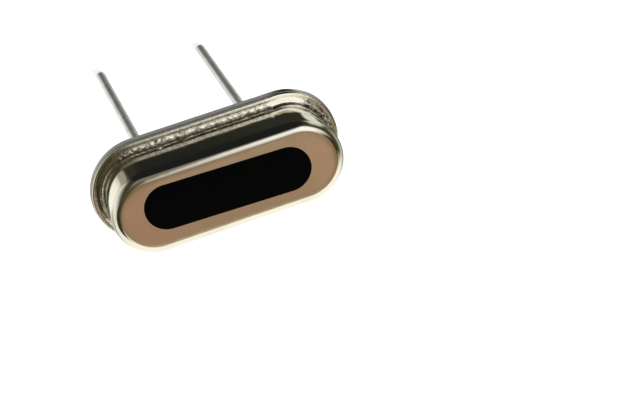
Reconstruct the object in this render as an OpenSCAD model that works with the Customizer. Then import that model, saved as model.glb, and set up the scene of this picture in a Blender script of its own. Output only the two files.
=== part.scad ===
// Low-profile quartz crystal in a welded metal can with two wire leads.
// Origin: centre of the seating plane, under the base. +Z: up through the can. +X: along the leads' row.

/* [Can] */
// Length of the can over its two round ends
can_l = 9.78; // [8.4:0.01:11.8]
// Width of the can over its flat sides
can_w = 3.58; // [2.96:0.01:4.3]
// Height from the seating plane to the top of the lid
can_h = 3.0; // [2.9:0.1:3.6]
// Thickness of the drawn sheet
can_wall = 0.2; // [0.16:0.01:0.24]
// Outer radius where the walls roll over into the lid
lid_edge_r = 0.36; // [0.3:0.01:0.5]
// Inner and outer radius where the walls turn out into the flange
foot_r = 0.1; // [0.06:0.01:0.12]

/* [Weld flange] */
// How far the can's flange stands out from its walls
can_lip = 0.43; // [0.35:0.01:0.52]
// Thickness of the can's flange
can_lip_t = 0.23; // [0.18:0.01:0.28]
// Height of the ridge of metal that the weld presses up
weld_ridge_h = 0.05; // [0.03:0.01:0.06]
// Width of the weld ridge
weld_ridge_w = 0.12; // [0.1:0.01:0.14]
// Distance from the can's wall to the middle of the weld ridge
weld_ridge_out = 0.19; // [0.17:0.01:0.22]
// How far the base's flange stands out from the can's walls
base_lip = 0.46; // [0.38:0.01:0.55]
// Thickness of the base's flange
base_lip_t = 0.27; // [0.22:0.01:0.33]
// Radius of the flanges' outer edges
lip_edge_r = 0.06; // [0.03:0.01:0.08]

/* [Base] */
// Height of the raised centre above the base's flange
boss_h = 0.45; // [0.35:0.01:0.55]
// Gap between the raised centre and the can's inner wall
boss_gap = 0.1; // [0.05:0.01:0.2]
// Radius of the raised centre's top edge
boss_edge_r = 0.12; // [0.08:0.01:0.16]
// Depth of the shallow pressing under the base
dish_depth = 0.12; // [0.08:0.01:0.16]
// Width of the flat rim left round the pressing
dish_rim = 0.6; // [0.45:0.01:0.75]

/* [Glass seals] */
// Diameter of each glass bead
seal_d = 1.2; // [1:0.01:1.44]
// How far the glass climbs the lead above and below the bead
seal_climb = 0.07; // [0.04:0.01:0.09]
// Gap left round the bead and round the wire inside it
seal_fit = 0.015; // [0.01:0.005:0.02]

/* [Leads] */
// Distance between the two leads
lead_pitch = 4.88; // [4.07:0.01:5.86]
// Diameter of the wire
lead_d = 0.43; // [0.35:0.001:0.52]
// Length of the wire below the seating plane
lead_l = 14.2; // [3:0.1:17]
// Radius of the wire's cut end
lead_tip_r = 0.09; // [0.05:0.01:0.12]
// Diameter of the wire where it swells under its head
neck_d = 0.5; // [0.44:0.01:0.6]
// Diameter of the flat head that carries the clip
head_d = 0.8; // [0.74:0.01:0.96]
// Thickness of the head
head_t = 0.12; // [0.1:0.01:0.15]
// Height of the head's underside above the raised centre
head_rise = 0.12; // [0.1:0.01:0.15]

/* [Holder clips] */
// Thickness of the spring strip
clip_t = 0.1; // [0.08:0.01:0.12]
// Width of the spring strip
clip_w = 1.0; // [0.83:0.01:1.2]
// Inner radius of the strip's bend
clip_bend_r = 0.1; // [0.06:0.01:0.12]
// How far the foot reaches past the lead, towards the middle
clip_heel = 0.4; // [0.3:0.01:0.5]
// Gap on each side of the crystal plate in the slot
slot_fit = 0.03; // [0.025:0.005:0.05]

/* [Crystal plate] */
// Length of the plate
blank_l = 7.6; // [6.3:0.01:9.2]
// Height of the plate, which stands on its long edge
blank_w = 1.5; // [1.25:0.01:1.6]
// Thickness of the plate, which sets the frequency
blank_t = 0.14; // [0.11:0.01:0.17]
// Gap between the plate's lower edge and the feet of the clips
blank_lift = 0.08; // [0.05:0.01:0.1]
// How far each end stands out through its clip
blank_overhang = 0.12; // [0.08:0.01:0.15]
// Depth of the slot that grips the plate
clip_grip = 1.2; // [1:0.01:1.24]
// Length of each silver electrode
electrode_l = 4.6; // [3.8:0.01:5.5]
// Height of each silver electrode
electrode_w = 1.2; // [1:0.01:1.24]
// Thickness of each electrode, drawn thicker than the real film
electrode_t = 0.02; // [0.01:0.005:0.02]
// Height of the strip that leads from an electrode to the plate's end
electrode_tab_w = 0.6; // [0.5:0.01:0.72]
// Radius of each dab of conductive cement
cement_r = 0.32; // [0.27:0.01:0.38]

/* [Marking patch] */
// Length of the dark patch printed on the lid
ink_l = 7; // [5.9:0.1:8.2]
// Width of the dark patch
ink_w = 1.95; // [1.6:0.05:2.35]
// Thickness of the ink
ink_t = 0.01; // [0.005:0.005:0.015]

/* [Hidden] */
$fn = 64;

// Every outline of the can and base is a slot: two half circles about the ends of this straight line
core_l = can_l - can_w;
can_r = can_w / 2;
can_foot_z = base_lip_t;
lip_top_z = can_foot_z + can_lip_t;
cavity_r = can_r - can_wall;
cavity_top_z = can_h - can_wall;
boss_r = cavity_r - boss_gap;
boss_top_z = base_lip_t + boss_h;
dish_r = can_r + base_lip - dish_rim;
lead_x = lead_pitch / 2;
lead_r = lead_d / 2;
head_z = boss_top_z + head_rise;
foot_z = head_z + head_t;
blank_z = foot_z + clip_t + blank_lift;
blank_mid_z = blank_z + blank_w / 2;
blank_end_x = blank_l / 2;
clip_outer_x = blank_end_x - blank_overhang;
clip_inner_x = clip_outer_x - clip_t;
clip_top_z = blank_z + clip_grip;
// Shapes that cut reach this far past what they cut
past = 1;

LEFT = -1;
RIGHT = 1;
FRONT = 1;
BACK = -1;
ABOVE = 1;
UNDER = -1;
NICKEL = [0.78, 0.74, 0.66];
STEEL = [0.62, 0.6, 0.55];
GLASS = [0.16, 0.2, 0.24];
TIN = [0.5, 0.5, 0.5];
BRONZE = [0.72, 0.6, 0.42];
QUARTZ = [0.86, 0.9, 0.9];
SILVER = [0.85, 0.85, 0.84];
CEMENT = [0.58, 0.56, 0.52];
INK = [0.03, 0.03, 0.03];

// A rectangle given by two opposite corners
module box_2d(x0, y0, x1, y1) {
    translate([x0, y0]) square([x1 - x0, y1 - y0]);
}

// Carries a section round the core line: X is the distance outwards from the line and Y is the height
module round_core() {
    for (side = [LEFT, RIGHT]) {
        translate([side * core_l / 2, 0]) rotate([0, 0, -side * 90]) rotate_extrude(angle = 180) children();
    }
    for (side = [0, 1]) {
        mirror([0, side, 0]) rotate([90, 0, 90]) linear_extrude(core_l, center = true) children();
    }
}

// Section of a slab from the axis out to r, with its top edge rounded
module rounded_slab_2d(r, y0, y1, edge_r) {
    box_2d(0, y0, r, y1 - edge_r);
    box_2d(0, y0, r - edge_r, y1);
    translate([r - edge_r, y1 - edge_r]) circle(edge_r);
}

// Section of a flange, with both of its outer edges rounded
module lip_2d(r, y0, y1) {
    box_2d(0, y0, r - lip_edge_r, y1);
    box_2d(0, y0 + lip_edge_r, r, y1 - lip_edge_r);
    for (y = [y0 + lip_edge_r, y1 - lip_edge_r]) translate([r - lip_edge_r, y]) circle(lip_edge_r);
}

// Section of the concave fillet in the corner at (x, y), which faces out and up
module fillet_2d(x, y, r) {
    difference() {
        box_2d(x - r, y - r, x + r, y + r);
        translate([x + r, y + r]) circle(r);
        box_2d(x, y + r, x + 2 * r, y + 2 * r);
        box_2d(x + r, y, x + 2 * r, y + 2 * r);
    }
}

// Low round ridge pressed up on the flange by the weld
module weld_ridge_2d() {
    // Radius of the arc that is weld_ridge_w wide where it rises weld_ridge_h above the flange
    arc_r = (pow(weld_ridge_w / 2, 2) + pow(weld_ridge_h, 2)) / (2 * weld_ridge_h);
    translate([can_r + weld_ridge_out, lip_top_z + weld_ridge_h - arc_r]) circle(arc_r);
}

module can_section() {
    difference() {
        union() {
            rounded_slab_2d(can_r, can_foot_z, can_h, lid_edge_r);
            lip_2d(can_r + can_lip, can_foot_z, lip_top_z);
            fillet_2d(can_r, lip_top_z, foot_r);
            weld_ridge_2d();
        }
        rounded_slab_2d(cavity_r, can_foot_z - past, cavity_top_z, lid_edge_r - can_wall);
        difference() {
            box_2d(cavity_r - foot_r, can_foot_z - foot_r, cavity_r + foot_r, can_foot_z + foot_r);
            translate([cavity_r + foot_r, can_foot_z + foot_r]) circle(foot_r);
        }
    }
}

module can() {
    color(NICKEL) round_core() can_section();
}

module base_section() {
    difference() {
        union() {
            lip_2d(can_r + base_lip, 0, base_lip_t);
            rounded_slab_2d(boss_r, 0, boss_top_z, boss_edge_r);
        }
        box_2d(-past, -past, dish_r, dish_depth);
    }
}

module base() {
    color(STEEL) difference() {
        round_core() base_section();
        for (side = [LEFT, RIGHT]) {
            translate([side * lead_x, 0, -past]) cylinder(h = boss_top_z + 2 * past, r = seal_d / 2 + seal_fit);
        }
    }
}

// Half section of the stretch of wire that swells from lead_d at the seating plane to neck_d under the head
module neck_2d(extra) {
    polygon([[0, 0], [lead_r + extra, 0], [neck_d / 2 + extra, head_z], [0, head_z]]);
}

// Concave collar of glass on the wire: up from the bead's top, or down from its underside
module collar_2d(face_z, side) {
    reach = neck_d / 2 + seal_fit + seal_climb;
    translate([0, face_z]) mirror([0, side == UNDER ? 1 : 0]) difference() {
        square([reach, seal_climb]);
        translate([reach, seal_climb]) circle(seal_climb);
    }
}

// Half section of a glass bead
module glass_section() {
    difference() {
        union() {
            box_2d(0, dish_depth, seal_d / 2, boss_top_z);
            collar_2d(boss_top_z, ABOVE);
            collar_2d(dish_depth, UNDER);
        }
        neck_2d(seal_fit);
    }
}

module glass_seal(side) {
    color(GLASS) translate([side * lead_x, 0]) rotate_extrude() glass_section();
}

// Half section of a lead: rounded cut end, straight wire, swelling neck and flat head
module lead_section() {
    box_2d(0, -lead_l, lead_r - lead_tip_r, 0);
    box_2d(0, -lead_l + lead_tip_r, lead_r, 0);
    intersection() {
        translate([lead_r - lead_tip_r, -lead_l + lead_tip_r]) circle(lead_tip_r);
        box_2d(0, -lead_l, lead_r, -lead_l + lead_tip_r);
    }
    neck_2d(0);
    box_2d(0, head_z, head_d / 2, foot_z);
}

module lead(side) {
    color(TIN) translate([side * lead_x, 0]) rotate_extrude() lead_section();
}

// Everything above and inside a bend of radius r, whose foot is at z0 and whose upright is at x1
module bend_2d(x0, x1, z0, top_z, r) {
    box_2d(x0, z0, x1 - r, top_z);
    box_2d(x0, z0 + r, x1, top_z);
    translate([x1 - r, z0 + r]) circle(r);
}

// A strip bent up at right angles: the foot lies on the lead's head, and the plate's end stands in the slot
module clip(side) {
    heel_x = lead_x - clip_heel;
    slot_w = blank_t + 2 * slot_fit;
    color(BRONZE) mirror([side == LEFT ? 1 : 0, 0, 0]) difference() {
        rotate([90, 0, 0]) linear_extrude(clip_w, center = true) difference() {
            bend_2d(heel_x, clip_outer_x, foot_z, clip_top_z, clip_bend_r + clip_t);
            bend_2d(heel_x - past, clip_inner_x, foot_z + clip_t, clip_top_z + past, clip_bend_r);
        }
        translate([clip_inner_x - past, -slot_w / 2, blank_z]) cube([2 * past, slot_w, clip_grip + past]);
    }
}

module crystal_plate() {
    color(QUARTZ) translate([-blank_end_x, -blank_t / 2, blank_z]) cube([blank_l, blank_t, blank_w]);
}

// A film on one face of the plate, with a strip that runs to one end
module electrode(face, side) {
    color(SILVER) translate([0, face * (blank_t + electrode_t) / 2, blank_mid_z])
        rotate([90, 0, 0]) linear_extrude(electrode_t, center = true) {
            square([electrode_l, electrode_w], center = true);
            translate([side * blank_end_x / 2, 0]) square([blank_end_x, electrode_tab_w], center = true);
        }
}

// A quarter ball of cement in the corner between a clip's inner face and an electrode's strip
module cement(face, side) {
    color(CEMENT) intersection() {
        translate([side * clip_inner_x, face * (blank_t / 2 + electrode_t), blank_mid_z]) sphere(cement_r);
        translate([side * (clip_inner_x - cement_r), face * (blank_t / 2 + electrode_t + cement_r), blank_mid_z])
            cube(2 * cement_r, center = true);
    }
}

module marking_patch() {
    color(INK) translate([0, 0, can_h]) linear_extrude(ink_t) {
        square([ink_l - ink_w, ink_w], center = true);
        for (side = [LEFT, RIGHT]) translate([side * (ink_l - ink_w) / 2, 0]) circle(d = ink_w);
    }
}

can();
base();
glass_seal(LEFT);  // glass_seal_left
glass_seal(RIGHT);  // glass_seal_right
lead(LEFT);  // lead_left
lead(RIGHT);  // lead_right
clip(LEFT);  // clip_left
clip(RIGHT);  // clip_right
crystal_plate();
electrode(FRONT, LEFT);  // electrode_front
electrode(BACK, RIGHT);  // electrode_back
cement(FRONT, LEFT);  // cement_left
cement(BACK, RIGHT);  // cement_right
marking_patch();
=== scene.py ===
"""Looks of a low-profile quartz crystal: fine meshes, finishes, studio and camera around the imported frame.

The clips, crystal plate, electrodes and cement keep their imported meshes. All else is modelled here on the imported
solids' own sizes.
"""

import logging
import math
from dataclasses import dataclass, field
from enum import Enum
from typing import Callable, Optional, Protocol, Sequence

import bmesh
import bpy
from mathutils import Matrix, Vector, noise


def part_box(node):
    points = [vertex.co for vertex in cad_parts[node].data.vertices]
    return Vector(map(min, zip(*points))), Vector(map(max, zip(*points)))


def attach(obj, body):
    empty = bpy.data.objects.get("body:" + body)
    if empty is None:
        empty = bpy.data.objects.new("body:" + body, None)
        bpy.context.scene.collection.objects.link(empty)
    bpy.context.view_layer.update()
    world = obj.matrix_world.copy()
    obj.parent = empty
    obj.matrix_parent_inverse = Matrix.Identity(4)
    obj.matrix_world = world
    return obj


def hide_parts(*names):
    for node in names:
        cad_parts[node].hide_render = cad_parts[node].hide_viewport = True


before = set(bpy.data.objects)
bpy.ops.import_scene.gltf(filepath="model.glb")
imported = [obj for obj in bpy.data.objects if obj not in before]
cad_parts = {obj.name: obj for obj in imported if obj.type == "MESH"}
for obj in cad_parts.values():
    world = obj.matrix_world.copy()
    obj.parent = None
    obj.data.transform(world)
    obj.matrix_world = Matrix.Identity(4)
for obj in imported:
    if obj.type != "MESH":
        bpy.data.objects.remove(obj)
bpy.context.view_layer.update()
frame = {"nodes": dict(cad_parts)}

MM = 0.001
ROOT = "root"
LOG = logging.getLogger("crystal")
# vertex layer of the weld's marks and of where shade is painted, in the seam and at the root of the wall
MARK_AND_SHADE = "weld_mark_and_shade"
CUT = "cut_edge"
LEAD_X = 2.44

MERGE = 1e-4 * MM
COLLAPSE = 1e-5 * MM

Triple = tuple[float, float, float]
Colour = Triple
Socket = bpy.types.NodeSocket
Material = bpy.types.Material
BMesh = bmesh.types.BMesh


class Side(Enum):
    """The two ends of the row of leads."""

    LEFT = -1
    RIGHT = 1


# ---- node graphs


class Graph:
    """A node tree with short calls for the nodes that the finishes share."""

    def __init__(self, tree: bpy.types.NodeTree) -> None:
        """Empties the tree.

        Args:
            tree: the node tree of a material or of the world.
        """
        self.tree = tree
        tree.nodes.clear()

    def add(self, kind: str, **settings: object) -> bpy.types.Node:
        """Adds a node.

        Args:
            kind: the node's type name.
            settings: values for the node's own properties.

        Returns:
            The new node.
        """
        node = self.tree.nodes.new(kind)
        for name, value in settings.items():
            setattr(node, name, value)
        return node

    def feed(self, socket: Socket, value: object) -> None:
        """Links a socket, or sets a constant, into an input.

        Args:
            socket: the input.
            value: another node's output, a number or a colour.
        """
        if isinstance(value, bpy.types.NodeSocket):
            self.tree.links.new(value, socket)
        elif isinstance(value, tuple) and len(value) == 3 and socket.type == "RGBA":
            socket.default_value = (*value, 1.0)
        else:
            socket.default_value = value

    def place(self) -> Socket:
        """Returns the object coordinates, which are the frame's own metres."""
        return self.add("ShaderNodeTexCoord").outputs["Object"]

    def noise(self, grain: float, detail: float = 3.0, stretch: Optional[Triple] = None) -> Socket:
        """Soft random noise.

        Args:
            grain: the size of its patches in millimetres.
            detail: how many finer layers it has.
            stretch: what its coordinates are multiplied by along X, Y and Z, or None.

        Returns:
            A value around 0.5.
        """
        place = self.place()
        if stretch is not None:
            mapping = self.add("ShaderNodeMapping")
            self.feed(mapping.inputs["Vector"], place)
            mapping.inputs["Scale"].default_value = stretch
            place = mapping.outputs["Vector"]
        node = self.add("ShaderNodeTexNoise")
        self.feed(node.inputs["Vector"], place)
        node.inputs["Scale"].default_value = 1 / (grain * MM)
        node.inputs["Detail"].default_value = detail
        return node.outputs["Fac"]

    def spread(
        self, value: Socket, low: float, high: float, to_low: float = 0.0, to_high: float = 1.0, smooth: bool = False,
    ) -> Socket:
        """Maps a range of values onto another and clamps it.

        Args:
            value: what is mapped.
            low: the value that becomes to_low.
            high: the value that becomes to_high.
            to_low: the result at low.
            to_high: the result at high.
            smooth: whether it eases in and out.

        Returns:
            The mapped value.
        """
        node = self.add("ShaderNodeMapRange", interpolation_type="SMOOTHSTEP" if smooth else "LINEAR", clamp=True)
        names = ("Value", "From Min", "From Max", "To Min", "To Max")
        for name, number in zip(names, (value, low, high, to_low, to_high)):
            self.feed(node.inputs[name], number)
        return node.outputs["Result"]

    def math(self, operation: str, *values: object) -> Socket:
        """A math node.

        Args:
            operation: its operation.
            values: its inputs in order.

        Returns:
            The result.
        """
        node = self.add("ShaderNodeMath", operation=operation)
        for socket, value in zip(node.inputs, values):
            self.feed(socket, value)
        return node.outputs["Value"]

    def mix(self, part: object, first: object, second: object) -> Socket:
        """Mixes two colours.

        Args:
            part: how much of the second is taken.
            first: the colour at a part of 0.
            second: the colour at a part of 1.

        Returns:
            The mixed colour.
        """
        node = self.add("ShaderNodeMix", data_type="RGBA")
        self.feed(node.inputs[0], part)
        self.feed(node.inputs[6], first)
        self.feed(node.inputs[7], second)
        return node.outputs[2]

    def relief(self, *layers: tuple[Socket, float]) -> Optional[Socket]:
        """Lays reliefs over one another in the surface.

        Args:
            layers: the height of each from 0 to 1 and its depth in millimetres, the lowest first.

        Returns:
            The changed normal.
        """
        normal = None
        for height, depth in layers:
            node = self.add("ShaderNodeBump")
            node.inputs["Strength"].default_value = 1.0
            node.inputs["Distance"].default_value = depth * MM
            self.feed(node.inputs["Height"], height)
            if normal is not None:
                self.feed(node.inputs["Normal"], normal)
            normal = node.outputs["Normal"]
        return normal

    def blend(self, part: Socket, first: Socket, second: Socket) -> Socket:
        """Mixes two shaders.

        Args:
            part: how much of the second is taken.
            first: the shader at a part of 0.
            second: the shader at a part of 1.

        Returns:
            The mixed shader.
        """
        node = self.add("ShaderNodeMixShader")
        for socket, value in zip(node.inputs, (part, first, second)):
            self.feed(socket, value)
        return node.outputs["Shader"]

    def surface(self, **values: object) -> None:
        """Ends a material in a Principled shader.

        Args:
            values: its inputs, named with _ for each space.
        """
        shader = self.add("ShaderNodeBsdfPrincipled")
        for name, value in values.items():
            self.feed(shader.inputs[name.replace("_", " ")], value)
        self.feed(self.add("ShaderNodeOutputMaterial").inputs["Surface"], shader.outputs["BSDF"])


def new_graph(name: str) -> tuple[Material, Graph]:
    """Makes an empty material.

    Args:
        name: its name.

    Returns:
        The material and its graph.
    """
    material = bpy.data.materials.new(name)
    material.use_nodes = True
    return material, Graph(material.node_tree)


# ---- finishes


class Finish(Protocol):
    """What every finish can do."""

    def make(self) -> Material:
        """Returns the finished material."""


@dataclass(frozen=True)
class PlatedNickel:
    """Nickel plate on drawn steel: satin on the flange, scorched beside the weld, dull on the sheared edges, with
    painted shade at the root of the wall and in the seam.

    Two vertex layers steer it. The first is 0 on clean plate, 0.25 on the flange, 0.5 where it is tinted, 0.75 where
    it is crusted, 0.95 where shade is painted at the root of the wall, and 1 in the seam, where near-black shade is
    painted. CUT is 1 on a sheared edge.
    """

    name: str = "nickel_plate"
    colour: Colour = (0.83, 0.79, 0.70)
    clouded: Colour = (0.77, 0.72, 0.62)
    satin: Colour = (0.82, 0.79, 0.69)
    burnt: Colour = (0.45, 0.435, 0.35)
    # darkens the weld crust a little, and is the painted shade at the root of the wall
    soot_and_shade: Colour = (0.03, 0.028, 0.018)
    # painted shade: near-black in the seam between the two flanges
    seam_shade: Colour = (0.006, 0.006, 0.005)
    sheared: Colour = (0.44, 0.43, 0.40)
    polish: float = 0.05

    def make(self) -> Material:
        """Returns the finished material."""
        material, g = new_graph(self.name)
        mark_and_shade = g.add("ShaderNodeAttribute", attribute_name=MARK_AND_SHADE).outputs["Fac"]
        cut = g.add("ShaderNodeAttribute", attribute_name=CUT).outputs["Fac"]
        flange = g.spread(mark_and_shade, 0.0, 0.2)
        tint = g.spread(mark_and_shade, 0.25, 0.5)
        weld = g.spread(mark_and_shade, 0.5, 0.75)
        clouds = g.noise(1.6, 4.0)
        colour = g.mix(g.spread(clouds, 0.35, 0.7), self.colour, self.clouded)
        colour = g.mix(flange, colour, self.satin)
        stain = g.math("MULTIPLY", tint, g.spread(g.noise(0.11), 0.40, 0.56, 0.3, 1.0))
        colour = g.mix(stain, colour, self.burnt)
        crust = g.math("MULTIPLY", weld, g.spread(g.noise(0.14), 0.50, 0.56, 0.0, 0.3))
        # painted shade at the root of the wall, from a mark of 0.75 up
        root_shade_share = g.spread(mark_and_shade, 0.75, 0.93)
        root_shade_share = g.math("MULTIPLY", root_shade_share, g.spread(g.noise(0.13), 0.40, 0.56, 0.55, 1.0))
        colour = g.mix(g.math("MAXIMUM", crust, root_shade_share), colour, self.soot_and_shade)
        colour = g.mix(cut, colour, self.sheared)
        # paints near-black shade into the seam between the two flanges
        colour = g.mix(g.spread(mark_and_shade, 0.96, 1.0), colour, self.seam_shade)
        rough = g.spread(clouds, 0.3, 0.7, self.polish, self.polish + 0.03)
        satin = g.math("MULTIPLY", flange, g.spread(g.noise(0.2), 0.3, 0.7, 0.02, 0.07))
        torn = g.math("MULTIPLY", cut, g.spread(g.noise(0.15), 0.3, 0.7, 0.3, 0.45))
        for more in (satin, g.math("MULTIPLY", tint, 0.03), torn):
            rough = g.math("ADD", rough, more)
        relief = g.relief(
            (g.noise(0.5, 2.0), 0.0012), (g.noise(0.35, 2.0, (1.0, 1.0, 0.12)), 0.0008), (g.noise(0.03, 2.0), 0.00025),
            (g.math("MULTIPLY", flange, g.noise(0.05)), 0.004), (g.math("MULTIPLY", weld, g.noise(0.07)), 0.02),
        )
        bare = g.math("MAXIMUM", g.math("MULTIPLY", cut, 0.6), g.math("MULTIPLY", weld, 0.15))
        g.surface(Base_Color=colour, Metallic=g.math("SUBTRACT", 1.0, bare), Roughness=rough, Normal=relief)
        return material


@dataclass(frozen=True)
class TinnedWire:
    """Tin-dipped wire, satin, with faint marks of drawing along it."""

    name: str = "tinned_wire"
    bright: Colour = (0.80, 0.795, 0.79)
    dull: Colour = (0.66, 0.655, 0.65)

    def make(self) -> Material:
        """Returns the finished material."""
        material, g = new_graph(self.name)
        streaks = g.noise(0.08, stretch=(1.0, 1.0, 0.06))
        clouds = g.noise(0.5, 4.0)
        colour = g.mix(g.spread(clouds, 0.35, 0.65), self.bright, self.dull)
        rough = g.spread(streaks, 0.3, 0.7, 0.26, 0.36)
        relief = g.relief((streaks, 0.0015), (g.noise(0.12, 4.0), 0.004))
        g.surface(Base_Color=colour, Metallic=0.79, Roughness=rough, Normal=relief)
        return material


@dataclass(frozen=True)
class SealGlass:
    """Dark blue-grey sealing glass with fine bubbles near its skin."""

    name: str = "seal_glass"
    body: Colour = (0.035, 0.05, 0.07)
    milky: Colour = (0.10, 0.13, 0.15)

    def make(self) -> Material:
        """Returns the finished material."""
        material, g = new_graph(self.name)
        bubbles = g.add("ShaderNodeTexVoronoi", feature="F1")
        g.feed(bubbles.inputs["Vector"], g.place())
        bubbles.inputs["Scale"].default_value = 1 / (0.07 * MM)
        pits = g.spread(bubbles.outputs["Distance"], 0.08, 0.3, smooth=True)
        colour = g.mix(g.spread(g.noise(0.3), 0.4, 0.7), self.body, self.milky)
        relief = g.relief((pits, 0.004), (g.noise(0.4, 2.0), 0.01))
        rough = g.spread(pits, 0.0, 1.0, 0.3, 0.12)
        g.surface(Base_Color=colour, Roughness=rough, IOR=1.5, Coat_Weight=0.3, Normal=relief)
        return material


@dataclass(frozen=True)
class MarkingInk:
    """Matt black marking ink, a little thin at its grain."""

    name: str = "marking_ink"
    black: Colour = (0.001, 0.001, 0.001)
    thin: Colour = (0.002, 0.002, 0.002)

    def make(self) -> Material:
        """Returns the finished material."""
        material, g = new_graph(self.name)
        grain = g.noise(0.06)
        colour = g.mix(g.spread(grain, 0.45, 0.75), self.black, self.thin)
        relief = g.relief((grain, 0.0015))
        rough = g.spread(g.noise(0.7), 0.3, 0.7, 0.55, 0.7)
        g.surface(Base_Color=colour, Roughness=rough, Specular_IOR_Level=0.02, Normal=relief)
        return material


@dataclass(frozen=True)
class InnerMetal:
    """Metal inside the can: rolled strip, or a silver film."""

    name: str
    bright: Colour
    dull: Colour
    polish: float
    grain: float
    lines: Triple = (1.0, 1.0, 1.0)

    def make(self) -> Material:
        """Returns the finished material."""
        material, g = new_graph(self.name)
        rolled = g.noise(self.grain, stretch=self.lines)
        clouds = g.noise(self.grain * 6, 4.0)
        colour = g.mix(g.spread(clouds, 0.35, 0.65), self.bright, self.dull)
        rough = g.spread(rolled, 0.3, 0.7, self.polish, self.polish + 0.12)
        g.surface(Base_Color=colour, Metallic=1.0, Roughness=rough, Normal=g.relief((rolled, 0.001)))
        return material


@dataclass(frozen=True)
class QuartzBlank:
    """Lapped quartz: clear inside, frosted by fine lapping on its faces."""

    name: str = "quartz"
    tint: Colour = (0.93, 0.96, 0.95)
    frosted: Colour = (0.86, 0.90, 0.90)

    def make(self) -> Material:
        """Returns the finished material."""
        material, g = new_graph(self.name)
        lapping = g.noise(0.02)
        colour = g.mix(g.spread(g.noise(1.2), 0.4, 0.65, 0.0, 0.6), self.tint, self.frosted)
        rough = g.spread(lapping, 0.3, 0.7, 0.16, 0.34)
        relief = g.relief((lapping, 0.0008))
        g.surface(Base_Color=colour, Roughness=rough, IOR=1.54, Transmission_Weight=0.85, Normal=relief)
        return material


@dataclass(frozen=True)
class SilverCement:
    """Dull grey cement filled with silver flakes."""

    name: str = "silver_cement"
    paste: Colour = (0.42, 0.41, 0.39)
    flake: Colour = (0.74, 0.73, 0.70)

    def make(self) -> Material:
        """Returns the finished material."""
        material, g = new_graph(self.name)
        flakes = g.add("ShaderNodeTexVoronoi", feature="F1")
        g.feed(flakes.inputs["Vector"], g.place())
        flakes.inputs["Scale"].default_value = 1 / (0.03 * MM)
        shine = g.spread(flakes.outputs["Distance"], 0.15, 0.4, 1.0, 0.0)
        relief = g.relief((g.noise(0.08, 4.0), 0.006))
        g.surface(
            Base_Color=g.mix(shine, self.paste, self.flake),
            Metallic=g.math("MULTIPLY", shine, 0.8),
            Roughness=g.spread(shine, 0.0, 1.0, 0.7, 0.35),
            Normal=relief,
        )
        return material


# ---- shared shaping


@dataclass(frozen=True)
class Corner:
    """A corner of a section: its distance out, its height and its rounding, in millimetres."""

    reach: float
    height: float
    radius: float = 0.0
    steps: int = 6


def section(bm: BMesh, corners: Sequence[Corner], closed: bool = False) -> None:
    """Draws a section in the plane of Y and Z, reaching out along -Y, and rounds its corners.

    Args:
        bm: the mesh that it is drawn in.
        corners: its corners in order.
        closed: whether the last corner joins the first.
    """
    points = [bm.verts.new((0.0, -c.reach * MM, c.height * MM)) for c in corners]
    ends = points[1:] + points[:1] if closed else points[1:]
    for first, second in zip(points, ends):
        bm.edges.new((first, second))
    for corner, point in zip(corners, points):
        if corner.radius > 0:
            bmesh.ops.bevel(
                bm, geom=[point], offset=corner.radius * MM, offset_type="OFFSET", segments=corner.steps,
                profile=0.5, affect="VERTICES", material=-1,
            )


def divide(bm: BMesh, pitch: float, inside: Callable[[Vector], bool]) -> None:
    """Cuts a section's edges into short ones of about the same length.

    Args:
        bm: the mesh that holds the section alone.
        pitch: the longest edge wanted, in millimetres.
        inside: says for an edge's middle point whether the edge is cut.
    """
    for edge in bm.edges[:]:
        middle = (edge.verts[0].co + edge.verts[1].co) / 2
        cuts = math.ceil(edge.calc_length() / (pitch * MM)) - 1
        if cuts > 0 and inside(middle):
            bmesh.ops.subdivide_edges(bm, edges=[edge], cuts=cuts)


def close_up(bm: BMesh) -> None:
    """Merges doubles, clears collapsed faces and turns the faces outwards.

    Args:
        bm: the mesh.
    """
    bmesh.ops.remove_doubles(bm, verts=bm.verts, dist=MERGE)
    bmesh.ops.dissolve_degenerate(bm, edges=bm.edges, dist=COLLAPSE)
    bmesh.ops.recalc_face_normals(bm, faces=bm.faces)


def carry_round(bm: BMesh, core: float, arc_steps: int, run_steps: int) -> None:
    """Carries the section in the mesh round a slot-shaped path: half turn, straight run, half turn, straight run.

    Args:
        bm: the mesh, which holds the section alone.
        core: the length of the straight runs in millimetres.
        arc_steps: the steps of each half turn.
        run_steps: the steps of each straight run.
    """
    half = core / 2 * MM
    bmesh.ops.translate(bm, verts=bm.verts, vec=(half, 0, 0))
    rim = bm.verts[:] + bm.edges[:]
    for way in (1, -1):
        turned = bmesh.ops.spin(
            bm, geom=rim, cent=(way * half, 0, 0), axis=(0, 0, 1), angle=math.pi, steps=arc_steps, use_merge=False,
            use_duplicate=False,
        )
        rim = turned["geom_last"]
        for _ in range(run_steps):
            moved = bmesh.ops.extrude_edge_only(bm, edges=[e for e in rim if isinstance(e, bmesh.types.BMEdge)])
            rim = [e for e in moved["geom"] if not isinstance(e, bmesh.types.BMFace)]
            step = Vector((-way * core * MM / run_steps, 0, 0))
            bmesh.ops.translate(bm, verts=[v for v in rim if isinstance(v, bmesh.types.BMVert)], vec=step)
    close_up(bm)


def turn_round(bm: BMesh, x: float, steps: int) -> None:
    """Turns the half section in the mesh round an upright axis.

    Args:
        bm: the mesh, which holds the half section alone.
        x: the axis's place along X in millimetres.
        steps: the steps of the full turn.
    """
    bmesh.ops.spin(
        bm, geom=bm.verts[:] + bm.edges[:], cent=(0, 0, 0), axis=(0, 0, 1), angle=2 * math.pi, steps=steps,
        use_merge=True, use_duplicate=False,
    )
    close_up(bm)
    bmesh.ops.translate(bm, verts=bm.verts, vec=(x * MM, 0, 0))


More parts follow.
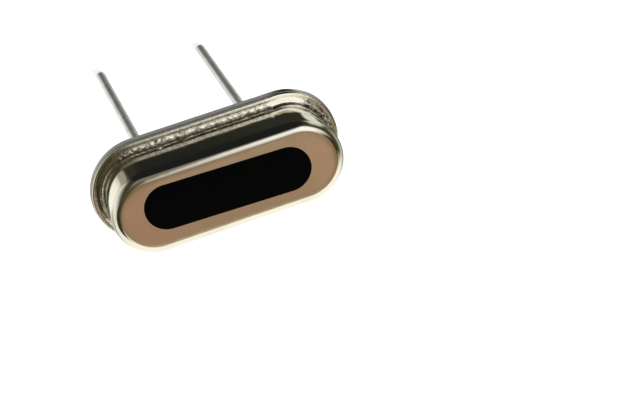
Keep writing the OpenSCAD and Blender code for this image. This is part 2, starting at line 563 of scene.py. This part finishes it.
def reach_of(point: Vector, core: float) -> tuple[float, Vector]:
    """How far a point lies from the core line, and which way is outwards there.

    Args:
        point: a point of a mesh, in metres.
        core: the length of the core line in millimetres.

    Returns:
        The distance in millimetres and the level direction outwards.
    """
    along = max(-core / 2, min(core / 2, point.x / MM))
    away = Vector((point.x / MM - along, point.y / MM, 0))
    return away.length, away.normalized() if away.length > 0 else Vector((0, 1, 0))


def held(value: float) -> float:
    """Returns a value held between 0 and 1."""
    return min(1.0, max(0.0, value))


@dataclass(frozen=True)
class Waves:
    """Smooth random waves: their height, their grain in millimetres and the seed of their pattern."""

    height: float
    grain: float
    seed: float

    def at(self, point: Vector) -> float:
        """Returns the waves' height at a point given in metres."""
        shift = Vector((self.seed, self.seed * 1.7, self.seed * 0.3))
        return self.height * noise.noise(point / (self.grain * MM) + shift)


def rough_at(waves: Sequence[Waves], point: Vector) -> float:
    """Returns the sum of several waves at a point given in metres."""
    return sum(wave.at(point) for wave in waves)


def into_object(bm: BMesh, name: str) -> bpy.types.Object:
    """Makes an object of a finished mesh and puts it in the scene.

    Args:
        bm: the mesh, which is used up.
        name: the object's name.

    Returns:
        The new object.
    """
    mesh = bpy.data.meshes.new(name)
    bm.to_mesh(mesh)
    bm.free()
    made = bpy.data.objects.new(name, mesh)
    bpy.context.scene.collection.objects.link(made)
    return made


@dataclass
class Piece:
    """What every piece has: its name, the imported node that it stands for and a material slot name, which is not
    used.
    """

    name: str
    node: str
    slot: str
    smooth_under: float = 40.0

    def model(self, bm: BMesh) -> None:
        """Models the piece in an empty mesh."""
        raise NotImplementedError(self.name)

    def build(self, material: Material) -> bpy.types.Object:
        """Models the piece, dresses it and hands it to the frame.

        Args:
            material: its finish.

        Returns:
            The new object.
        """
        bm = bmesh.new()
        self.model(bm)
        piece = into_object(bm, self.name)
        mesh = piece.data
        mesh.shade_smooth()
        mesh.set_sharp_from_angle(angle=math.radians(self.smooth_under))
        mesh.materials.append(material)
        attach(piece, ROOT)
        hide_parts(self.node)
        LOG.info("%s: %d faces", self.name, len(mesh.polygons))
        return piece


# ---- the crystal


@dataclass
class Housing:
    """The sizes that the can and the base share, in millimetres; the smooth stretch of the flange is in degrees."""

    core: float = 6.2
    can_r: float = 1.79
    can_h: float = 3.0
    wall: float = 0.2
    lid_edge_r: float = 0.36
    foot_r: float = 0.1
    can_lip: float = 0.43
    base_lip: float = 0.46
    lip_edge_r: float = 0.06
    base_edge_r: float = 0.11
    base_lip_t: float = 0.27
    lip_top: float = 0.5
    seam_in: float = 0.08
    seam_low: float = -0.02
    seam_high: float = 0.11
    arc_steps: int = 118
    run_steps: int = 104
    smooth_at: float = 76.0
    smooth_half: float = 24.0

    def read(self) -> None:
        """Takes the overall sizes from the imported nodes' boxes."""
        low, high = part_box("base")
        self.core = (high.x - low.x - (high.y - low.y)) / MM
        self.can_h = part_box("can")[1].z / MM
        self.base_lip_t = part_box("can")[0].z / MM
        self.can_r = high.y / MM - self.base_lip

    def in_seam(self, point: Vector) -> bool:
        """Tells whether a place lies in the seam between the two flanges."""
        near = reach_of(point, self.core)[0] > self.can_r + self.can_lip - self.seam_in
        return near and self.seam_low < point.z / MM - self.base_lip_t < self.seam_high

    def cut_edge(self, point: Vector, reach_in: float, low: float, high: float) -> float:
        """Tells where a flange shows its sheared edge.

        Args:
            point: a place on the flange.
            reach_in: how far from the core it starts, in mm.
            low: its lowest height in mm.
            high: its greatest height in mm.

        Returns:
            1 on the sheared edge, 0 away from it, less where the flange is smooth.
        """
        inside = reach_of(point, self.core)[0] > reach_in
        return 1.0 - self.calm(point) if inside and low < point.z / MM < high else 0.0

    def calm(self, point: Vector) -> float:
        """How far a place lies in the smooth, bent-down stretch of the flange at the back right, from 0 to 1."""
        return max(0.0, 1 - ((self.bearing(point) - self.smooth_at) / self.smooth_half) ** 2)

    def bearing(self, point: Vector) -> float:
        """The direction of a place seen from the middle of the right end's curve, in degrees."""
        return math.degrees(math.atan2(point.y / MM, point.x / MM - self.core / 2))


@dataclass(frozen=True)
class Spot:
    """A place on the can, in millimetres from its core and its seat, its share of the smoother stretch at the left and
    its share of the right end's stretch where shade is painted beside the wall.
    """

    point: Vector
    out: Vector
    reach: float
    height: float
    calm: float
    left: float
    shaded_root: float


@dataclass(frozen=True)
class Drop:
    """A drop of weld spatter: its place along the can, its side, its distance from the wall and its radius, in mm."""

    along: float
    side: int
    out_by: float
    radius: float

    def height(self, x: float, y: float, out_by: float) -> float:
        """How high the drop stands at a place on the flange.

        Args:
            x: the place along the can, in mm.
            y: the place across it, in mm.
            out_by: how far the place is from the wall, in mm.

        Returns:
            The height in mm, 0 away from the drop.
        """
        if y * self.side <= 0:
            return 0.0
        gap = math.hypot(x - self.along, out_by - self.out_by) / self.radius
        return 0.7 * self.radius * max(0.0, 1 - gap * gap)


@dataclass
class Can(Piece):
    """The drawn can: flat lid, rolled edge, straight walls, and a flange with the weld's rough ridge."""

    housing: Housing = field(default_factory=Housing)
    ridge_h: float = 0.036
    ridge_outer: float = 0.13
    ridge_inner: float = 0.06
    ridge_out: float = 0.093
    ridge_round: float = 0.012
    tint_out: float = 0.34
    # painted shade beside the wall at the right end reaches this far out
    shaded_root_out: float = 0.27
    droop: float = 0.08
    droop_out: float = 0.35
    waist: float = 0.017
    waist_top: float = 2.5
    corner_drop: float = 0.13
    groove_out: float = 0.25
    groove_half: float = 0.05
    groove_depth: float = 0.009
    # painted shade: a dark band at the foot of the wall, where it meets the flange
    foot_shade_h: float = 0.20
    foot_shade: float = 0.87
    edge_lines: tuple[float, float] = (0.1, 0.12)
    wall_waves: tuple[Waves, ...] = (Waves(0.0022, 1.3, 9.0), Waves(0.0008, 0.4, 10.0))
    crest_waves: tuple[Waves, ...] = (Waves(0.012, 0.5, 3.0), Waves(0.015, 0.15, 4.0))
    ridge_waves: tuple[Waves, ...] = (Waves(0.15, 0.4, 1.0), Waves(0.3, 0.13, 2.0))
    skin_waves: Waves = Waves(0.002, 0.12, 5.0)
    lump_waves: Waves = Waves(0.028, 0.12, 6.0)
    shove_waves: Waves = Waves(0.014, 0.12, 8.0)
    groove_waves: Waves = Waves(0.01, 0.8, 16.0)
    tint_waves: Waves = Waves(0.015, 0.3, 7.0)
    foot_shade_waves: Waves = Waves(0.05, 0.3, 15.0)
    shaded_root_waves: Waves = Waves(0.8, 0.2, 17.0)
    spatter: tuple[Drop, ...] = (
        Drop(-2.06, 1, 0.18, 0.07), Drop(-2.02, 1, 0.08, 0.06), Drop(-2.16, 1, 0.09, 0.05),
        Drop(1.15, 1, 0.25, 0.035), Drop(-0.9, 1, 0.10, 0.05), Drop(2.4, 1, 0.07, 0.04),
        Drop(2.2, -1, 0.22, 0.05), Drop(-1.6, -1, 0.15, 0.06),
    )

    def model(self, bm: BMesh) -> None:
        """Models the can.

        Args:
            bm: the empty mesh.
        """
        h = self.housing
        inner_r, edge = h.can_r - h.wall, h.can_r + h.can_lip
        seam_top, cut_low = [h.base_lip_t + line for line in self.edge_lines]
        section(bm, [
            Corner(0, h.can_h),
            Corner(h.can_r, h.can_h, h.lid_edge_r, 12),
            Corner(h.can_r, h.lip_top + 0.3),
            Corner(h.can_r, h.lip_top, h.foot_r, 5),
            Corner(edge, h.lip_top, h.lip_edge_r, 5),
            Corner(edge, seam_top),
            Corner(edge, cut_low),
            Corner(edge, h.base_lip_t, h.lip_edge_r, 5),
            Corner(inner_r, h.base_lip_t, h.foot_r, 3),
            Corner(inner_r, h.can_h - h.wall, h.lid_edge_r - h.wall, 4),
            Corner(0, h.can_h - h.wall),
        ])
        top = h.lip_top * MM
        divide(bm, 0.018, lambda p: abs(p.z - top) < 1e-6 and -p.y > h.can_r * MM)
        divide(bm, 0.05, lambda p: top < p.z < top + 0.3 * MM and -p.y > (h.can_r - 0.01) * MM)
        divide(bm, 0.22, lambda p: top < p.z and -p.y > (h.can_r - 0.01) * MM)
        divide(bm, 0.30, lambda p: p.z > (h.can_h - 0.01) * MM)
        carry_round(bm, h.core, h.arc_steps, h.run_steps)
        mark_and_shade, cut = (bm.verts.layers.float.new(layer) for layer in (MARK_AND_SHADE, CUT))
        for vert in bm.verts:
            vert[mark_and_shade] = self.roughen(vert)
            vert[cut] = h.cut_edge(vert.co, edge - 0.03, cut_low - 0.005, h.lip_top - 0.04)

    def spot(self, point: Vector) -> Spot:
        """Returns what is to be known of a place on the can."""
        h = self.housing
        reach, out = reach_of(point, h.core)
        turned = h.bearing(point)
        left = held((-point.x / MM - 3.5) / 0.6)
        # the right end's stretch, where shade is painted beside the wall
        shaded_root = held((60 - turned) / 8) * held(turned / 10)
        return Spot(point, out, reach, point.z / MM, h.calm(point), left, shaded_root)

    def roughen(self, vert: bmesh.types.BMVert) -> float:
        """Presses the weld's ridge and its rough skin into the flange, and makes the walls a little uneven.

        Args:
            vert: a vertex, which is moved.

        Returns:
            How much the weld has marked the metal there, with painted shade in the seam and at the foot of the wall,
            from 0 to 1.
        """
        h = self.housing
        spot = self.spot(vert.co.copy())
        # the seam gets the top value, where near-black shade is painted
        if h.in_seam(spot.point):
            return 1.0
        if spot.reach < h.can_r - 0.01 or spot.height < h.lip_top - 0.01:
            return 0.0
        if spot.height < h.lip_top + h.foot_r:
            return self.shape_flange(vert, spot)
        waist = self.waist * (1 - spot.left) * held(self.waist_top - spot.height)
        vert.co += spot.out * (rough_at(self.wall_waves, spot.point) - waist) * MM
        # paints shade in a band at the foot of the wall
        line = h.lip_top + self.foot_shade_h + self.foot_shade_waves.at(spot.point)
        return (1 - spot.calm) * min(self.foot_shade, max(0.0, (line - spot.height) / 0.04))

    def shape_flange(self, vert: bmesh.types.BMVert, spot: Spot) -> float:
        """Moves a vertex of the flange's top to where the weld left it.

        Args:
            vert: the vertex.
            spot: its place.

        Returns:
            How much the weld has marked the metal there, with painted shade beside the wall at the right end, from 0
            to 1.
        """
        h, p = self.housing, spot.point
        rough = 1 - spot.left
        full_waist = self.waist * rough
        waist = full_waist * held((0.25 - (spot.reach - h.can_r)) / 0.2)
        out_by = spot.reach - waist - (h.can_r - full_waist)
        height = self.ridge_h * (1 - 0.75 * spot.calm) * (0.95 + (1 - 0.8 * spot.left) * rough_at(self.ridge_waves, p))
        off = out_by - self.ridge_out - rough_at(self.crest_waves, p)
        gap = math.hypot(off, self.ridge_round) - self.ridge_round
        rise = max(0.0, 1 - gap / (self.ridge_outer if off > 0 else self.ridge_inner))
        inner = (1 - spot.calm) * held((0.01 - off) / 0.03) * held((out_by - 0.01) / 0.03)
        drop = max(dot.height(p.x / MM, p.y / MM, out_by) for dot in self.spatter)
        skin = self.skin_waves.at(p) * held((h.can_lip - out_by) / 0.06)
        lump = inner * rough * (1 - 0.6 * spot.shaded_root) * self.lump_waves.at(p)
        droop = self.droop * max(0.0, out_by - self.droop_out) + self.corner_drop * out_by * spot.calm
        off_groove = abs(out_by - self.groove_out - self.groove_waves.at(p))
        groove = self.groove_depth * max(0.0, 1 - off_groove / self.groove_half)
        vert.co.z += (max(drop, height * rise) + skin + lump - droop - groove) * MM
        vert.co += spot.out * (inner * rough * self.shove_waves.at(p) - waist) * MM
        return self.scorch_and_shade(spot, out_by, rise, inner)

    def scorch_and_shade(self, spot: Spot, out_by: float, rise: float, inner: float) -> float:
        """How much the weld has marked a place on the flange, with painted shade beside the wall at the right end.

        Args:
            spot: the place.
            out_by: how far it is from the wall, in mm.
            rise: how high it stands on the ridge, from 0 to 1.
            inner: how far it lies in the crust inside the ridge, from 0 to 1.

        Returns:
            The mark from 0 to 0.95.
        """
        tint = (1 - spot.calm) * held((self.tint_out + self.tint_waves.at(spot.point) - out_by) / 0.04)
        mark = 0.25 + 0.25 * tint - 0.3 * held(2 * rise) * (1 - inner) + 0.25 * inner * (1 - spot.left)
        # paints shade on the flange beside the root of the wall at the right end
        mark += 0.7 * spot.shaded_root * held((self.shaded_root_out - out_by) / 0.05) * (0.6 + self.shaded_root_waves.at(spot.point))
        return min(0.95, max(0.0, mark))


@dataclass
class Base(Piece):
    """The base: a flange welded to the can's, a raised centre inside it and a shallow pressing underneath."""

    housing: Housing = field(default_factory=Housing)
    boss_r: float = 1.49
    boss_top: float = 0.72
    boss_edge_r: float = 0.12
    dish_r: float = 1.65
    dish_depth: float = 0.12
    seal_r: float = 0.606
    drill_z: float = 0.3
    drill_depth: float = 2.0
    edge_waves: tuple[Waves, ...] = (Waves(0.003, 0.6, 11.0), Waves(0.0015, 0.15, 12.0))

    def build(self, material: Material) -> bpy.types.Object:
        """Models and dresses the base, and drills it for the seals.

        Args:
            material: its finish.

        Returns:
            The base.
        """
        piece = super().build(material)
        self.drill(piece)
        return piece

    def model(self, bm: BMesh) -> None:
        """Models the base without its holes.

        Args:
            bm: the empty mesh.
        """
        h = self.housing
        edge = h.can_r + h.base_lip
        section(bm, [
            Corner(0, self.boss_top),
            Corner(self.boss_r, self.boss_top, self.boss_edge_r, 5),
            Corner(self.boss_r, h.base_lip_t, 0.05, 3),
            Corner(edge, h.base_lip_t, h.base_edge_r, 7),
            Corner(edge, 0, h.lip_edge_r, 5),
            Corner(self.dish_r, 0, 0.04, 4),
            Corner(self.dish_r, self.dish_depth, 0.04, 4),
            Corner(0, self.dish_depth),
        ])
        divide(bm, 0.1, lambda p: -p.y > (edge - 0.01) * MM)
        carry_round(bm, h.core, h.arc_steps, h.run_steps)
        mark_and_shade, cut = (bm.verts.layers.float.new(layer) for layer in (MARK_AND_SHADE, CUT))
        for vert in bm.verts:
            reach, out = reach_of(vert.co, h.core)
            # the seam gets the top value, where near-black shade is painted
            vert[mark_and_shade] = 1.0 if h.in_seam(vert.co) and vert.co.z > (h.base_lip_t - 0.006) * MM else 0.0
            vert[cut] = h.cut_edge(vert.co, edge - 0.08, 0.02, h.base_lip_t - 0.007)
            if reach > h.can_r + h.can_lip * 0.5:
                vert.co += out * rough_at(self.edge_waves, vert.co) * MM

    def drill(self, piece: bpy.types.Object) -> None:
        """Cuts the two round holes that the glass fills.

        Args:
            piece: the base.
        """
        for side in Side:
            bm = bmesh.new()
            middle = Vector((side.value * LEAD_X, 0, self.drill_z)) * MM
            bmesh.ops.create_cone(
                bm, cap_ends=True, segments=96, radius1=self.seal_r * MM, radius2=self.seal_r * MM,
                depth=self.drill_depth * MM, matrix=Matrix.Translation(middle),
            )
            tool = into_object(bm, "drill")
            cut = piece.modifiers.new("hole", "BOOLEAN")
            cut.operation = "DIFFERENCE"
            cut.solver = "EXACT"
            cut.object = tool
            done = bpy.data.meshes.new_from_object(piece.evaluated_get(bpy.context.evaluated_depsgraph_get()))
            piece.modifiers.clear()
            piece.data = done
            bpy.data.objects.remove(tool)
        piece.data.set_sharp_from_angle(angle=math.radians(self.smooth_under))


@dataclass
class Lead(Piece):
    """A tinned wire: rounded cut end, straight shank, swelling neck and flat head."""

    x: float = LEAD_X
    wire_r: float = 0.215
    length: float = 14.2
    lean: tuple[float, float] = (0.0, 0.0)
    jog: float = 0.0
    tip_r: float = 0.09
    neck_r: float = 0.25
    head_r: float = 0.4
    head_z: float = 0.84
    foot_z: float = 0.96
    fine_waves: Waves = Waves(0.002, 0.2, 14.0)

    def model(self, bm: BMesh) -> None:
        """Models the lead.

        Args:
            bm: the empty mesh.
        """
        section(bm, [
            Corner(0, self.foot_z),
            Corner(self.head_r, self.foot_z, 0.03, 3),
            Corner(self.head_r, self.head_z, 0.03, 3),
            Corner(self.neck_r, self.head_z, 0.03, 3),
            Corner(self.wire_r, 0),
            Corner(self.wire_r, -self.length, self.tip_r, 6),
            Corner(0, -self.length),
        ])
        divide(bm, 0.12, lambda p: p.z < 0 and -p.y > 0.2 * MM)
        turn_round(bm, self.x, 40)
        waves = (Waves(0.006, 0.9, 13.0 + self.x), self.fine_waves)
        for vert in bm.verts:
            if vert.co.z < -0.3 * MM:
                away = Vector((vert.co.x - self.x * MM, vert.co.y, 0))
                if away.length > 0.1 * self.wire_r * MM:
                    vert.co += away.normalized() * rough_at(waves, vert.co) * MM
            fall = min(0.0, vert.co.z) / (-self.length * MM)
            jog = self.jog * held(-vert.co.z / MM - 0.1)
            vert.co += Vector((self.lean[0] * fall + jog, self.lean[1] * fall, 0)) * MM


@dataclass
class Seal(Piece):
    """A bead of glass fused between the base and a lead, climbing the wire on both faces."""

    x: float = LEAD_X
    bead_r: float = 0.604
    low: float = 0.12
    high: float = 0.72
    bore_r: float = 0.219
    climb: float = 0.07

    def model(self, bm: BMesh) -> None:
        """Models the bead.

        Args:
            bm: the empty mesh.
        """
        bore_high = self.bore_r + 0.03
        section(bm, [
            Corner(self.bore_r, self.low - self.climb),
            Corner(self.bore_r + 0.012, self.low - self.climb),
            Corner(self.bore_r + 0.04, self.low, self.climb * 0.9, 6),
            Corner(self.bead_r - 0.04, self.low, 0.05, 4),
            Corner(self.bead_r, self.low - 0.02),
            Corner(self.bead_r, self.high + 0.02),
            Corner(self.bead_r - 0.04, self.high, 0.05, 4),
            Corner(bore_high + 0.04, self.high, self.climb * 0.9, 6),
            Corner(bore_high + 0.012, self.high + self.climb),
            Corner(bore_high, self.high + self.climb),
        ], closed=True)
        turn_round(bm, self.x, 56)


@dataclass
class MarkingPatch(Piece):
    """The slot-shaped field of black ink on the lid."""

    length: float = 7.0
    width: float = 1.95
    low: float = 3.0
    high: float = 3.01
    shift: tuple[float, float] = (-0.06, 0.087)
    turn: float = -1.6
    edge_waves: Waves = Waves(0.004, 0.12, 15.0)

    def model(self, bm: BMesh) -> None:
        """Models the patch, a little askew as it is printed.

        Args:
            bm: the empty mesh.
        """
        edge_r = (self.high - self.low) * 0.6
        section(bm, [
            Corner(0, self.high),
            Corner(self.width / 2, self.high, edge_r, 3),
            Corner(self.width / 2, self.low),
            Corner(0, self.low),
        ])
        carry_round(bm, self.length - self.width, 96, 40)
        for vert in bm.verts:
            reach, out = reach_of(vert.co, self.length - self.width)
            if reach > self.width * 0.4:
                vert.co += out * self.edge_waves.at(vert.co) * MM
        bmesh.ops.rotate(bm, verts=bm.verts, cent=(0, 0, 0), matrix=Matrix.Rotation(math.radians(self.turn), 3, "Z"))
        bmesh.ops.translate(bm, verts=bm.verts, vec=(self.shift[0] * MM, self.shift[1] * MM, 0))


@dataclass
class Mechanism:
    """What the can hides: clips, plate, electrodes and cement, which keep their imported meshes."""

    finishes: dict[str, Finish] = field(default_factory=lambda: {
        "clip": InnerMetal("spring_strip", (0.80, 0.68, 0.48), (0.62, 0.52, 0.36), 0.22, 0.05, (1.0, 0.1, 0.1)),
        "crystal_plate": QuartzBlank(),
        "electrode": InnerMetal("silver_film", (0.93, 0.92, 0.89), (0.80, 0.78, 0.74), 0.14, 0.04),
        "cement": SilverCement(),
    })

    def dress(self, nodes: dict[str, bpy.types.Object]) -> None:
        """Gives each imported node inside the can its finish.

        Args:
            nodes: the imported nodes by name.
        """
        for start, finish in self.finishes.items():
            material = finish.make()
            for name, node in nodes.items():
                if name.startswith(start):
                    node.data.materials.clear()
                    node.data.materials.append(material)
                    LOG.info("%s: dressed in %s", name, material.name)


# ---- studio and camera


@dataclass(frozen=True)
class Card:
    """A soft-edged panel or flag of the studio, seen only in reflections. Angles are in degrees."""

    azimuth: float
    elevation: float
    turn: float
    half_width: float
    half_height: float
    blur: float
    colour: Colour

    def axes(self) -> tuple[Vector, Vector, Vector]:
        """Returns the directions towards the card, along its width and along its height."""
        turn = Matrix.Identity(3)
        for angle, axis in ((self.azimuth, "Z"), (-self.elevation, "Y"), (self.turn, "X")):
            turn = turn @ Matrix.Rotation(math.radians(angle), 3, axis)
        return turn @ Vector((1, 0, 0)), turn @ Vector((0, 1, 0)), turn @ Vector((0, 0, 1))

    def cover(self, g: Graph, way: Socket) -> Socket:
        """How much of a direction the card covers.

        Args:
            g: the graph of the world.
            way: the direction.

        Returns:
            A value from 0 outside the card to 1 on it.
        """
        cosines = []
        for axis in self.axes():
            node = g.add("ShaderNodeVectorMath", operation="DOT_PRODUCT")
            g.feed(node.inputs[0], way)
            node.inputs[1].default_value = axis
            cosines.append(node.outputs["Value"])
        ahead, across, upright = cosines
        wide = g.math("DIVIDE", g.math("DEGREES", g.math("ARCTAN2", across, ahead)), self.half_width)
        high = g.math("DIVIDE", g.math("DEGREES", g.math("ARCSINE", upright)), self.half_height)
        out = g.math("ADD", *[g.math("POWER", g.math("ABSOLUTE", off), 4.0) for off in (wide, high)])
        soft = self.blur / min(self.half_width, self.half_height)
        return g.spread(g.math("POWER", out, 0.25), 1 - soft, 1 + soft, 1.0, 0.0, smooth=True)


@dataclass
class Studio:
    """A pale floor, a white surround, a soft lamp and the cards that the metal reflects; a later card lies on top."""

    floor_z: float = -14.2
    floor_half: float = 1.5
    floor_colour: tuple[float, float, float, float] = (0.93, 0.93, 0.93, 1.0)
    floor_lift: float = 0.30
    lamp_place: Triple = (0.18, -0.22, 0.40)
    lamp_size: float = 0.30
    lamp_power: float = 0.75
    shade: Colour = (0.0563, 0.0585, 0.0291)
    plain: float = 0.78
    cards: tuple[Card, ...] = (
        # the white wall in front
        Card(-95, 1, 41, 63, 60, 9, (1.18, 1.17, 1.07)),
        # warm ceiling over the front
        Card(-111, 72, 11, 35, 12, 4, (0.225, 0.149, 0.0744)),
        # white panel overhead
        Card(48, 66, -19, 26, 23, 12, (1.21, 1.21, 1.19)),
        # pale wall at the left
        Card(181, -17, -28, 41, 52, 23, (0.964, 0.992, 0.91)),
        # grey corner at the right
        Card(-24, -14, -37, 22, 19, 20, (0.694, 0.705, 0.645)),
        # narrow white panel at the right
        Card(34, -35, -5, 13, 38, 7, (0.74, 0.776, 0.723)),
        # the flag behind the long wall
        Card(87, -14, 4, 29, 69, 10, (0.0145, 0.0148, 0.0155)),
        # gap above the flag
        Card(109, 62, -21, 14, 28, 2, (0.209, 0.197, 0.161)),
        # shadow low at the front right
        Card(-29, -40, -8, 18, 20, 7, (0.21, 0.219, 0.176)),
        # beige patch low at the left
        Card(-153, -29, 40, 18, 27, 10, (0.511, 0.494, 0.462)),
        # brown corner above the left end
        Card(-176, 71, -25, 21, 19, 9, (0.0898, 0.0733, 0.0412)),
        # the dark line along the lid's left edge
        Card(-147, 52, -42, 17, 18, 3, (0.04, 0.038, 0.025)),
        # low in front: flag, narrow light and dark strips, and the bright corner at the left
        Card(48, -62, 0, 10, 13, 2, (0.028, 0.03, 0.024)),
        Card(4, -62, 0, 7, 13, 2, (0.80, 0.80, 0.72)),
        Card(-27, -62, 0, 5, 13, 3, (0.07, 0.075, 0.045)),
        Card(-164, -62, 0, 15, 14, 6, (1.06, 1.08, 1.0)),
        Card(-121, -65, 0, 4, 5.5, 2, (0.38, 0.36, 0.32)),
        Card(140, -66, 0, 4, 8, 1, (0.37, 0.37, 0.30)),
        Card(114, -66, 0, 4, 8, 1.5, (0.035, 0.033, 0.022)),
        # high up: dark strip at the right, dark strip at the left, pale strip, and the tan part that the lid mirrors
        Card(-31, 55, 40, 8, 12, 3, (0.04, 0.037, 0.017)),
        Card(-122, 69, 0, 8, 5, 3, (0.11, 0.075, 0.045)),
        Card(-25, 71.5, 0, 7, 4.5, 2.5, (1.15, 1.12, 1.03)),
        Card(-78, 64.3, 0, 6.6, 4, 1.5, (0.37, 0.255, 0.16)),
        Card(-76, 66.0, 2, 5, 1.6, 1.5, (0.41, 0.305, 0.205)),
        Card(-68, 62.5, 0, 1.6, 2, 1.4, (0.46, 0.30, 0.20)),
        Card(-86, 64.8, 0, 1.6, 2, 1.4, (0.41, 0.25, 0.16)),
    )

    def build(self) -> None:
        """Sets up the surround, the floor and the lamp."""
        self.make_world()
        self.make_floor()
        self.make_lamp()

    def make_world(self) -> None:
        """Makes the surround: white to the camera, cards to the metal, plain soft light to the rest."""
        world = bpy.data.worlds.new("studio")
        bpy.context.scene.world = world
        world.use_nodes = True
        world.cycles.sampling_method = "NONE"
        g = Graph(world.node_tree)
        way = g.add("ShaderNodeTexCoord").outputs["Generated"]
        colour: object = self.shade
        for card in self.cards:
            colour = g.mix(card.cover(g, way), colour, card.colour)
        rays = g.add("ShaderNodeLightPath")
        mirrored = g.math("MAXIMUM", rays.outputs["Is Glossy Ray"], rays.outputs["Is Transmission Ray"])
        shaders = []
        for light, strength in (((1.0, 1.0, 1.0), self.plain), (colour, 1.0), ((1.0, 1.0, 1.0), 1.0)):
            background = g.add("ShaderNodeBackground")
            g.feed(background.inputs["Color"], light)
            background.inputs["Strength"].default_value = strength
            shaders.append(background.outputs["Background"])
        result = shaders[0]
        for share, shader in ((mirrored, shaders[1]), (rays.outputs["Is Camera Ray"], shaders[2])):
            result = g.blend(share, result, shader)
        g.feed(g.add("ShaderNodeOutputWorld").inputs["Surface"], result)

    def make_floor(self) -> None:
        """Makes the pale floor, which keeps the crystal's soft shadow."""
        bm = bmesh.new()
        bmesh.ops.create_grid(bm, x_segments=1, y_segments=1, size=self.floor_half)
        bmesh.ops.translate(bm, verts=bm.verts, vec=(0, 0, self.floor_z * MM))
        floor = into_object(bm, "floor")
        floor.visible_glossy = False
        floor.visible_transmission = False
        material, g = new_graph("pale_floor")
        matt = g.add("ShaderNodeBsdfDiffuse")
        matt.inputs["Color"].default_value = self.floor_colour
        lift = g.add("ShaderNodeEmission")
        rays = g.add("ShaderNodeLightPath")
        g.feed(lift.inputs["Strength"], g.math("MULTIPLY", rays.outputs["Is Camera Ray"], self.floor_lift))
        both = g.add("ShaderNodeAddShader")
        g.feed(both.inputs[0], matt.outputs["BSDF"])
        g.feed(both.inputs[1], lift.outputs["Emission"])
        clear = g.add("ShaderNodeBsdfTransparent").outputs["BSDF"]
        back = g.add("ShaderNodeNewGeometry").outputs["Backfacing"]
        sides = g.blend(back, both.outputs["Shader"], clear)
        g.feed(g.add("ShaderNodeOutputMaterial").inputs["Surface"], sides)
        floor.data.materials.append(material)

    def make_lamp(self) -> None:
        """Adds a square soft lamp that shines on the crystal and doesn't show in its metal."""
        data = bpy.data.lights.new("key", "AREA")
        data.shape = "SQUARE"
        data.size = self.lamp_size
        data.energy = self.lamp_power
        lamp = bpy.data.objects.new("key", data)
        lamp.location = Vector(self.lamp_place)
        lamp.rotation_mode = "QUATERNION"
        lamp.rotation_quaternion = (-Vector(self.lamp_place)).to_track_quat("-Z", "Y")
        lamp.visible_glossy = False
        bpy.context.scene.collection.objects.link(lamp)


@dataclass
class Camera:
    """The camera's place and turn in the frame."""

    place: Triple = (-6.1768, 26.5180, 59.1834)
    right: Triple = (0.93506364, -0.22597132, 0.27311709)
    down: Triple = (-0.32143006, -0.86536143, 0.38448967)
    lens: float = 87.569

    def build(self) -> None:
        """Sets up the camera."""
        right, up = Vector(self.right), -Vector(self.down)
        back = right.cross(up)
        data = bpy.data.cameras.new("camera")
        data.lens = self.lens
        data.sensor_width = 36.0
        data.clip_start = 0.001
        data.clip_end = 10.0
        camera = bpy.data.objects.new("camera", data)
        turn = Matrix((right, up, back)).transposed().to_4x4()
        camera.matrix_world = Matrix.Translation(Vector(self.place) * MM) @ turn
        bpy.context.scene.collection.objects.link(camera)
        bpy.context.scene.camera = camera


def main() -> None:
    """Builds the camera, the studio and every piece of the crystal in order."""
    logging.basicConfig(level=logging.INFO, format="%(name)s: %(message)s")
    bpy.context.scene.view_settings.view_transform = "Standard"
    Camera().build()
    Studio().build()
    housing = Housing()
    housing.read()
    nickel = PlatedNickel().make()
    wire = TinnedWire().make()
    glass = SealGlass().make()
    Can("can_shell", "can", "nickel_can", housing=housing).build(nickel)
    Base("base_plate", "base", "nickel_base", housing=housing).build(nickel)
    for side, lean, jog in ((Side.LEFT, (-0.29, 0.055), -0.012), (Side.RIGHT, (0.02, -0.19), -0.07)):
        end, x = side.name.lower(), side.value * LEAD_X
        Lead(f"lead_wire_{end}", f"lead_{end}", "tinned_wire", x=x, lean=lean, jog=jog).build(wire)
        Seal(f"glass_bead_{end}", f"glass_seal_{end}", "seal_glass", x=x).build(glass)
    MarkingPatch("ink_patch", "marking_patch", "black_ink").build(MarkingInk().make())
    Mechanism().dress(frame["nodes"])


if __name__ == "__main__":
    main()
